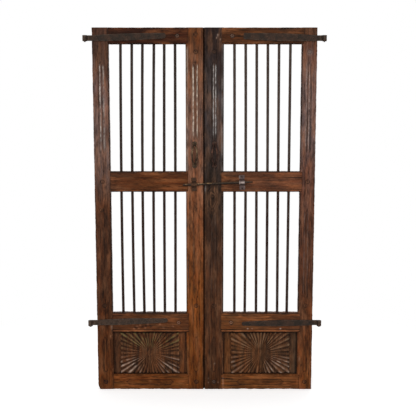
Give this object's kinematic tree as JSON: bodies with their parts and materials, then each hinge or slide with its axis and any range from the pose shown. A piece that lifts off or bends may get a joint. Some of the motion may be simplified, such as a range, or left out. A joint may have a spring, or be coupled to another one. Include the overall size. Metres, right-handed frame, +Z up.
{
  "type": "carved door",
  "caption": "Old carved teak door leaves with iron bars over sunburst panels, hung on strap hinges, with bow pulls and a sliding bolt across the meeting stiles.",
  "frame": {"origin": "bottom centre of the whole pair's box, on the floor line of the leaves", "axes": "+X to the right seen from the front, +Y towards the back, +Z up"},
  "size_m": [1.1884, 0.068, 1.834],
  "materials": {
    "warm_teak": "worn oiled teak, warm brown",
    "mid_teak": "worn oiled teak, red brown",
    "dark_teak": "dark stained teak with open grain",
    "panel_teak": "carved teak with remains of paint",
    "bar_iron": "dark wrought iron, brown patina",
    "strap_iron": "hammered wrought iron, worn"
  },
  "bodies": {
    "hinge_pins": {"left_top_pin": "bar_iron", "left_bottom_pin": "bar_iron", "right_top_pin": "bar_iron", "right_bottom_pin": "bar_iron"},
    "left_leaf": {"left_hinge_stile": "mid_teak", "left_meeting_stile": "warm_teak", "left_top_rail": "mid_teak", "left_middle_rail": "mid_teak", "left_lower_rail": "mid_teak", "left_bottom_rail": "mid_teak", "left_carved_panel": "panel_teak", "left_bar_1": "bar_iron", "left_bar_2": "bar_iron", "left_bar_3": "bar_iron", "left_bar_4": "bar_iron", "left_bar_5": "bar_iron", "left_bar_6": "bar_iron", "left_top_strap": "strap_iron", "left_bottom_strap": "strap_iron", "left_strap_nails": "bar_iron", "left_bolt_loop": "strap_iron", "left_loop_nails": "bar_iron", "left_pull": "bar_iron", "left_pull_nails": "bar_iron"},
    "right_leaf": {"right_hinge_stile": "mid_teak", "right_meeting_stile": "dark_teak", "right_top_rail": "mid_teak", "right_middle_rail": "mid_teak", "right_lower_rail": "mid_teak", "right_bottom_rail": "mid_teak", "right_carved_panel": "panel_teak", "right_bar_1": "bar_iron", "right_bar_2": "bar_iron", "right_bar_3": "bar_iron", "right_bar_4": "bar_iron", "right_bar_5": "bar_iron", "right_bar_6": "bar_iron", "right_top_strap": "strap_iron", "right_bottom_strap": "strap_iron", "right_strap_nails": "bar_iron", "right_bolt_loop": "strap_iron", "right_loop_nails": "bar_iron", "right_pull": "bar_iron", "right_pull_nails": "bar_iron"},
    "bolt": {"bolt": "strap_iron"}
  },
  "joints": [
    {"name": "left_leaf_swing", "type": "hinge", "parent": "hinge_pins", "child": "left_leaf", "pos_m": [-0.58225, -0.016, 1], "axis": [0, 0, -1], "range_deg": [0, 110]},
    {"name": "right_leaf_swing", "type": "hinge", "parent": "hinge_pins", "child": "right_leaf", "pos_m": [0.58225, -0.016, 1], "axis": [0, 0, 1], "range_deg": [0, 110]},
    {"name": "bolt_slide", "type": "slide", "parent": "right_leaf", "child": "bolt", "axis": [0.999, 0, 0.0436], "range_m": [0, 0.115]}
  ]
}
